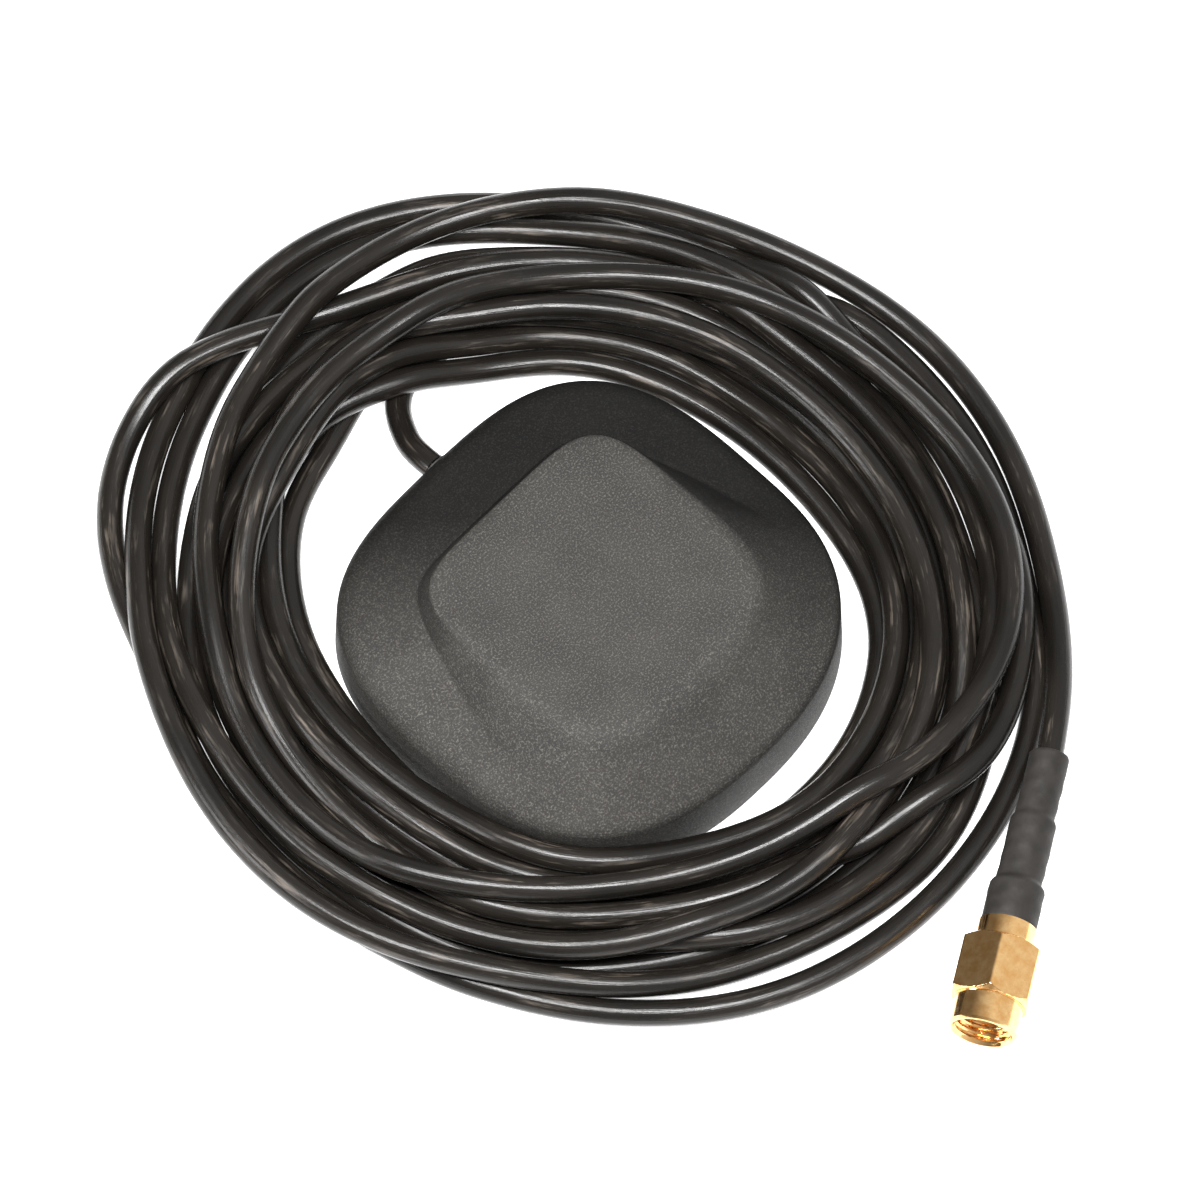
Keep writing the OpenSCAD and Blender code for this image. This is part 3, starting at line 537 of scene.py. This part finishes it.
def coilControl():
    # Every stop in the order that the lead meets it, its bearing falling all the way
    centre = cordUser["centre"]
    stops = [(b - 360 * k, turns[k][0][j], turns[k][1][j])
             for k in range(len(turns)) for j, b in enumerate(bearings)]
    stops += [(b - 360 * k, r, z) for k, b, r, z in extraStops]
    stops = np.array(sorted(stops, reverse=True), dtype=float)[1:]
    # A smooth curve through distance and height by bearing, read every 6 degrees
    fine = np.arange(stops[0, 0], stops[-1, 0], -6.0)
    radius, height = (smoothThrough(-stops[:, 0], stops[:, k], -fine) for k in (1, 2))
    angle = np.radians(fine)
    return np.stack([centre[0] + radius * np.cos(angle), centre[1] + radius * np.sin(angle), height],
                    axis=-1)


def smoothThrough(x, y, at):
    # Cubic between stops, its slope at each the mean of the slopes on both sides by their width
    step = np.diff(x)
    rise = np.diff(y) / step
    slope = np.concatenate([[rise[0]], (rise[:-1] * step[1:] + rise[1:] * step[:-1])
                            / (step[:-1] + step[1:]), [rise[-1]]])
    k = np.clip(np.searchsorted(x, at) - 1, 0, len(x) - 2)
    t = (at - x[k]) / step[k]
    return ((2 * t ** 3 - 3 * t ** 2 + 1) * y[k] + (t ** 3 - 2 * t ** 2 + t) * step[k] * slope[k]
            + (3 * t ** 2 - 2 * t ** 3) * y[k + 1] + (t ** 3 - t ** 2) * step[k] * slope[k + 1])


def softened(line, width, keep):
    # Weighted mean with the neighbours along the cord, less so where keep is near 1
    reach = int(3 * width)
    weight = np.exp(-0.5 * (np.arange(-reach, reach + 1) / width) ** 2)
    weight /= weight.sum()
    padded = np.pad(line, ((reach, reach), (0, 0)), mode="edge")
    soft = np.stack([np.convolve(padded[:, k], weight, mode="valid") for k in range(3)], axis=-1)
    return line * keep[:, None] + soft * (1 - keep[:, None])


def nearPairs(line, reach, skip):
    # Index pairs of points closer than reach that aren't neighbours along the cord
    first, second = [], []
    for start in range(0, len(line), 400):
        block = line[start:start + 400]
        gap = np.sum((block[:, None, :] - line[None, :, :]) ** 2, axis=-1)
        i, j = np.nonzero(gap < reach * reach)
        i = i + start
        keep = j - i > skip
        first.append(i[keep])
        second.append(j[keep])
    return np.concatenate(first), np.concatenate(second)


def settle(line, firm, fixed, rounds):
    # Strands push each other a diameter apart, rest on the floor, keep off the puck, and
    # otherwise keep to the chosen way; the change is smoothed along the cord
    diameter = cordUser["diameter"] * 1.03
    target = line.copy()
    pictureUp = np.array([[0.719, 0.695]])
    count = len(line)
    skip = int(diameter * 2.2 / cordUser["spacing"])
    for step in range(rounds):
        if step % 12 == 0:
            first, second = nearPairs(line, diameter * 1.9, skip)
        gap = line[first] - line[second]
        distance = np.linalg.norm(gap, axis=1) + 1e-9
        deep = np.maximum(0, diameter - distance)
        push = gap / distance[:, None] * (deep * 0.5)[:, None]
        move = np.zeros_like(line)
        hits = np.bincount(first, deep > 0, count) + np.bincount(second, deep > 0, count)
        for k in range(3):
            move[:, k] = (np.bincount(first, push[:, k], count)
                          - np.bincount(second, push[:, k], count))
        move /= np.maximum(1, hits * 0.55)[:, None]
        last = step > rounds - 120
        if not last:
            # A strand that comes to lie lower keeps its place in the picture
            lean = pictureUp * (target - line)[:, 2:] * 0.445
            move[:, :2] += ((target - line)[:, :2] + lean) * firm[:, None]
            move[:, 2] -= 0.03
        move[fixed] = 0
        line = line + move
        change = line - target
        for _ in range(1 if last else 3):
            change[1:-1] += (0.1 if last else 0.5) * ((change[:-2] + change[2:]) / 2 - change[1:-1])
        line = target + change
        line[fixed] = target[fixed]
        line[:, 2] = np.maximum(line[:, 2], np.where(fixed, line[:, 2], cordUser["diameter"] / 2))
        bearing = np.arctan2(line[:, 1], line[:, 0])
        radius = np.hypot(line[:, 0], line[:, 1])
        clear = coverOutline(bearing) + cordUser["diameter"] / 2 + 0.25
        short = np.where(fixed, 0, np.maximum(0, clear - radius))
        line[:, 0] += short * np.cos(bearing)
        line[:, 1] += short * np.sin(bearing)
    return line


def tubeMesh(line, radius, sides):
    # Rings square to the way, carried along it without twist
    way = np.gradient(line, axis=0)
    way /= np.linalg.norm(way, axis=1)[:, None]
    side = np.cross(way, [0, 0, 1.0])
    side /= np.linalg.norm(side, axis=1)[:, None]
    up = np.cross(side, way)
    a = np.arange(sides) * 2 * math.pi / sides
    ring = (np.cos(a)[None, :, None] * side[:, None, :] + np.sin(a)[None, :, None] * up[:, None, :])
    points = line[:, None, :] + ring * radius
    travel = np.concatenate([[0], np.cumsum(np.linalg.norm(np.diff(line, axis=0), axis=1))])
    wrap = np.stack([np.broadcast_to(radius * np.cos(a), (len(line), sides)),
                     np.broadcast_to(radius * np.sin(a), (len(line), sides)),
                     np.broadcast_to(travel[:, None], (len(line), sides))], axis=-1)
    return points.reshape(-1, 3), gridFaces(len(line), sides), wrap.reshape(-1, 3)


def buildCord():
    u = cordUser
    coil = coilControl()
    plugStart = [alongPlug(plugUser["sleeveEnd"]), alongPlug(plugUser["sleeveEnd"] - 3.5),
                 alongPlug(plugUser["jacketStart"])]
    line = splinePoints(np.vstack([leadRoute, coil, tailRoute, plugStart]), u["spacing"])
    travel = np.arange(len(line)) * u["spacing"]
    total = travel[-1]
    ends = np.clip(1 - np.minimum(travel / 6, (total - travel) / 20), 0, 1)
    # Softened twice over, so that bends lose their kinks but keep their distance
    soft = softened(line, 4.0, ends)
    line = soft + softened(line - soft, 4.0, ends)
    fixed = (travel < 7) | (travel > total - 100)
    # The top two turns keep closest to the way they were given
    firm = np.where(travel > total - 620, 0.06, 0.03)
    line = settle(line, firm, fixed, 600)
    line = softened(line, 0.8, ends)
    line = resample(line, 1.2)
    points, faces, wrap = tubeMesh(line, u["diameter"] / 2, u["sides"])
    piece = addPiece("coiled_lead", points, faces, "cable_jacket", "antenna", 180, ("alongCord", wrap))
    return piece, line


cord, cordLine = buildCord()
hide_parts("cord_lead", "cord_coil", "cord_loop", "cord_tail")
i, j = nearPairs(cordLine, cordUser["diameter"], 5)
closest = np.linalg.norm(cordLine[i] - cordLine[j], axis=1) if len(i) else np.array([9.0])
print("stage: lead laid, length", round(float(np.sum(np.linalg.norm(np.diff(cordLine, axis=0), axis=1))), 1),
      "mm, closest turns", round(float(closest.min()), 2), "mm, close pairs", int((closest < 2.6).sum()),
      "top", round(float(cordLine[:, 2].max()), 1))


# Plug

def revolve(name, profile, slotName, body, columns=96, shape=None, flatAngle=35, closed=True):
    # profile: (distance from the nut's front, radius) in mm; shape may change the radius by angle
    profile = np.asarray(profile, dtype=float)
    a = np.arange(columns) * 2 * math.pi / columns
    s = np.broadcast_to(profile[:, 0][:, None], (len(profile), columns)).copy()
    r = np.broadcast_to(profile[:, 1][:, None], (len(profile), columns)).copy()
    if shape is not None:
        s, r = shape(s, r, a[None, :])
    yaw = math.radians(plugUser["yaw"])
    along = np.array([math.cos(yaw), math.sin(yaw), 0])
    across = np.array([-math.sin(yaw), math.cos(yaw), 0])
    up = np.array([0, 0, 1.0])
    origin = np.array(plugUser["origin"])
    points = (origin + s[..., None] * along + (r * np.cos(a))[..., None] * across
              + (r * np.sin(a))[..., None] * up)
    faces = gridFaces(len(profile), columns, closed)[:, ::-1]
    return addPiece(name, points.reshape(-1, 3), faces, slotName, body, flatAngle)


nutUser = {
    "frontLength": 3.3, "frontRadius": 3.65, "length": 9.9, "acrossFlats": 8.0, "bevel": 0.5,
    "threadRadius": 2.95, "threadDepth": 0.32, "pitch": 25.4 / 36, "webStart": 6.4, "webRadius": 2.62,
}


def buildNut():
    u = nutUser
    corner = u["acrossFlats"] / 2 / math.cos(math.radians(30))
    rows = [(0.0, 3.25), (0.0, 3.33), (0.06, 3.45), (0.3, u["frontRadius"])]
    rows += [(s, u["frontRadius"]) for s in (0.8, 1.6, 2.4, 3.0)]
    rows += [(3.22, u["frontRadius"]), (u["frontLength"], u["frontRadius"] + 0.05)]
    hexStart = len(rows)
    rows += [(s, corner) for s in np.linspace(u["frontLength"], u["frontLength"] + u["bevel"], 9)]
    rows += [(s, corner) for s in np.linspace(u["frontLength"] + 0.7, u["length"] - 0.7, 8)]
    rows += [(s, corner) for s in np.linspace(u["length"] - u["bevel"], u["length"], 9)]
    hexEnd = len(rows)
    rows += [(u["length"], 3.2), (u["length"], u["webRadius"] + 0.1), (9.8, u["webRadius"]),
             (u["webStart"], u["webRadius"]), (u["webStart"], u["threadRadius"])]
    threadStart = len(rows)
    rows += [(s, u["threadRadius"]) for s in np.linspace(6.35, 0.42, 72)]
    threadEnd = len(rows)
    rows += [(0.3, 3.08), (0.04, 3.2)]

    def shape(s, r, a):
        # Hexagon: half the flats over the cosine of the angle from the flat's middle, held
        # under a cone that cuts its corners at both ends
        fold = (a + math.pi / 6) % (math.pi / 3) - math.pi / 6
        flat = u["acrossFlats"] / 2 / np.cos(fold)
        part = slice(hexStart, hexEnd)
        ends = np.minimum(s[part] - u["frontLength"], u["length"] - s[part])
        cone = u["acrossFlats"] / 2 - 0.1 + ends / u["bevel"] * (corner - u["acrossFlats"] / 2 + 0.1)
        blunt = corner - 0.05
        r[part] = np.minimum(np.minimum(flat, cone), blunt)
        # Thread: a triangle wave that moves one pitch along for each turn
        part = slice(threadStart, threadEnd)
        phase = (s[part] / u["pitch"] + a / (2 * math.pi)) % 1
        wave = np.clip(np.abs(phase - 0.5) * 2.5 - 0.1, 0, 1)
        fade = smoothStep((s[part] - 0.4) / 0.5) * smoothStep((6.4 - s[part]) / 0.4)
        r[part] = u["threadRadius"] + u["threadDepth"] * wave * fade
        return s, r

    return revolve("threaded_nut", rows, "gold_plate", "nut", 192, shape, 30)


nut = buildNut()
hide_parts("coupling_nut")

sleeveUser = {
    "wide": 2.92, "middle": 2.42, "thin": 2.1, "wobble": 0.035,
}


def buildSleeve():
    u, p = sleeveUser, plugUser
    outer = []
    for s in np.arange(p["collarEnd"], p["sleeveEnd"] - 0.35, 0.18):
        # Two soft drops, over the shoulder's end and over the ferrule's end
        first = smoothStep((s - (p["ferruleStart"] - 0.5)) / 0.9)
        second = smoothStep((s - (p["jacketStart"] - 0.4)) / 1.0)
        radius = u["wide"] - (u["wide"] - u["middle"]) * first - (u["middle"] - u["thin"]) * second
        outer.append((s, radius))
    outer[0] = (p["collarEnd"], u["wide"] - 0.12)
    end = p["sleeveEnd"]
    outer += [(end - 0.15, u["thin"] - 0.03), (end, u["thin"] - 0.12), (end, 1.62), (end - 0.1, 1.43),
              (end - 1.0, 1.42), (p["collarEnd"] + 1, 1.42), (p["collarEnd"], 2.3)]
    wide = len(outer) - 7

    def shape(s, r, a):
        part = slice(1, wide)
        q = s[part]
        r[part] = r[part] + u["wobble"] * (np.sin(1.7 * q + 2 * a) * np.sin(0.9 * q + a + 1)
                                           + 0.5 * np.sin(3.3 * q - 3 * a))
        # The cut edges aren't quite square
        s[0] = s[0] + 0.05 * (1 + np.sin(a[0] * 2 + 0.6))
        s[wide:wide + 4] = s[wide:wide + 4] - 0.06 * (1 + np.sin(a[0] + 1.2))
        return s, r

    return revolve("shrunk_sleeve", outer, "sleeve_plastic", "antenna", 72, shape, 50)


sleeve = buildSleeve()
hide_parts("heat_shrink")
print("stage: plug built")


# Studio

studioUser = {
    "target": (3.88, 2.91, 0.0),     # mm
    "azimuth": -46.0, "elevation": 66.0, "distance": 3.0, "frameWidth": 0.12435,
}


def buildStudio():
    u = studioUser
    azimuth, elevation = math.radians(u["azimuth"]), math.radians(u["elevation"])
    target = Vector(u["target"]) * mm
    level = Vector((-math.sin(azimuth), math.cos(azimuth), 0))
    look = level * math.cos(elevation) - Vector((0, 0, math.sin(elevation)))
    camera = bpy.data.cameras.new("camera")
    camera.sensor_width = 36
    camera.lens = 36 * u["distance"] / u["frameWidth"]
    camera.clip_start, camera.clip_end = 0.01, 10
    holder = bpy.data.objects.new("camera", camera)
    bpy.context.collection.objects.link(holder)
    holder.location = target - look * u["distance"]
    holder.rotation_euler = look.to_track_quat("-Z", "Y").to_euler()
    bpy.context.scene.camera = holder

    right = level.cross(Vector((0, 0, 1)))
    lamps = (
        # A soft box in front, a little to the right, and a weak window at the left
        ("front", -0.12 * level - 0.03 * right + Vector((0, 0, 0.5)), 0.4, 0.08, 7.5),
        ("left", -0.5 * right - 0.2 * level + Vector((0, 0, 0.28)), 0.2, 0.2, 2.0),
    )
    for name, place, width, height, power in lamps:
        light = bpy.data.lights.new(name, "AREA")
        light.shape, light.size, light.size_y, light.energy = "RECTANGLE", width, height, power
        lamp = bpy.data.objects.new(name, light)
        lamp.location = place
        lamp.rotation_euler = (-place).to_track_quat("-Z", "Y").to_euler()
        bpy.context.collection.objects.link(lamp)

    world = bpy.data.worlds.new("studio")
    bpy.context.scene.world = world
    world.use_nodes = True
    tree = world.node_tree
    tree.nodes.clear()
    rays = addNode(tree, "ShaderNodeLightPath")
    fill = addNode(tree, "ShaderNodeBackground", None, {"Color": toLinear("#f4f1ec"), "Strength": 0.07})
    white = addNode(tree, "ShaderNodeBackground", None, {"Color": (1, 1, 1, 1), "Strength": 1.0})
    # In a mirror the room is dim on the left and bright on the right
    around = addNode(tree, "ShaderNodeTexCoord").outputs["Generated"]
    sideways = addNode(tree, "ShaderNodeVectorMath", {"operation": "DOT_PRODUCT"},
                       {0: around, 1: right}).outputs["Value"]
    pale = addNode(tree, "ShaderNodeBackground", None,
                   {"Color": (1, 1, 1, 1), "Strength": rangeOf(tree, sideways, -0.6, 0.5, 0.2, 1.0)})
    mirrored = addNode(tree, "ShaderNodeMath", {"operation": "MAXIMUM"},
                       {0: rays.outputs["Is Glossy Ray"], 1: rays.outputs["Is Transmission Ray"]})
    gloss = addNode(tree, "ShaderNodeMixShader", None,
                    {0: mirrored.outputs[0], 1: fill.outputs[0], 2: pale.outputs[0]})
    mix = addNode(tree, "ShaderNodeMixShader", None,
                  {0: rays.outputs["Is Camera Ray"], 1: gloss.outputs[0], 2: white.outputs[0]})
    addNode(tree, "ShaderNodeOutputWorld", None, {"Surface": mix.outputs[0]})

    # White sweep: seen directly it is white, less the shadow that the object throws on it
    material, tree = newMaterial("floor_white")
    rays = addNode(tree, "ShaderNodeLightPath")
    paint = addNode(tree, "ShaderNodeBsdfDiffuse", None, {"Color": (0.8, 0.8, 0.8, 1)})
    glow = addNode(tree, "ShaderNodeEmission", None, {"Color": (1, 1, 1, 1), "Strength": 0.84})
    both = addNode(tree, "ShaderNodeAddShader", None, {0: paint.outputs[0], 1: glow.outputs[0]})
    mirrored = addNode(tree, "ShaderNodeMath", {"operation": "MAXIMUM"},
                       {0: rays.outputs["Is Glossy Ray"], 1: rays.outputs["Is Transmission Ray"]})
    seen = addNode(tree, "ShaderNodeMath", {"operation": "MAXIMUM"},
                   {0: rays.outputs["Is Camera Ray"], 1: mirrored.outputs[0]})
    mix = addNode(tree, "ShaderNodeMixShader", None,
                  {0: seen.outputs[0], 1: paint.outputs[0], 2: both.outputs[0]})
    addNode(tree, "ShaderNodeOutputMaterial", None, {"Surface": mix.outputs[0]})
    size = 3.0
    mesh = bpy.data.meshes.new("floor")
    mesh.from_pydata([(-size, -size, 0), (size, -size, 0), (size, size, 0), (-size, size, 0)],
                     [], [(0, 1, 2, 3)])
    mesh.materials.append(material)
    floor = bpy.data.objects.new("floor", mesh)
    floor.location.z = -0.00005
    bpy.context.collection.objects.link(floor)
    bpy.context.scene.view_settings.view_transform = "Standard"


buildStudio()
print("stage: studio built")
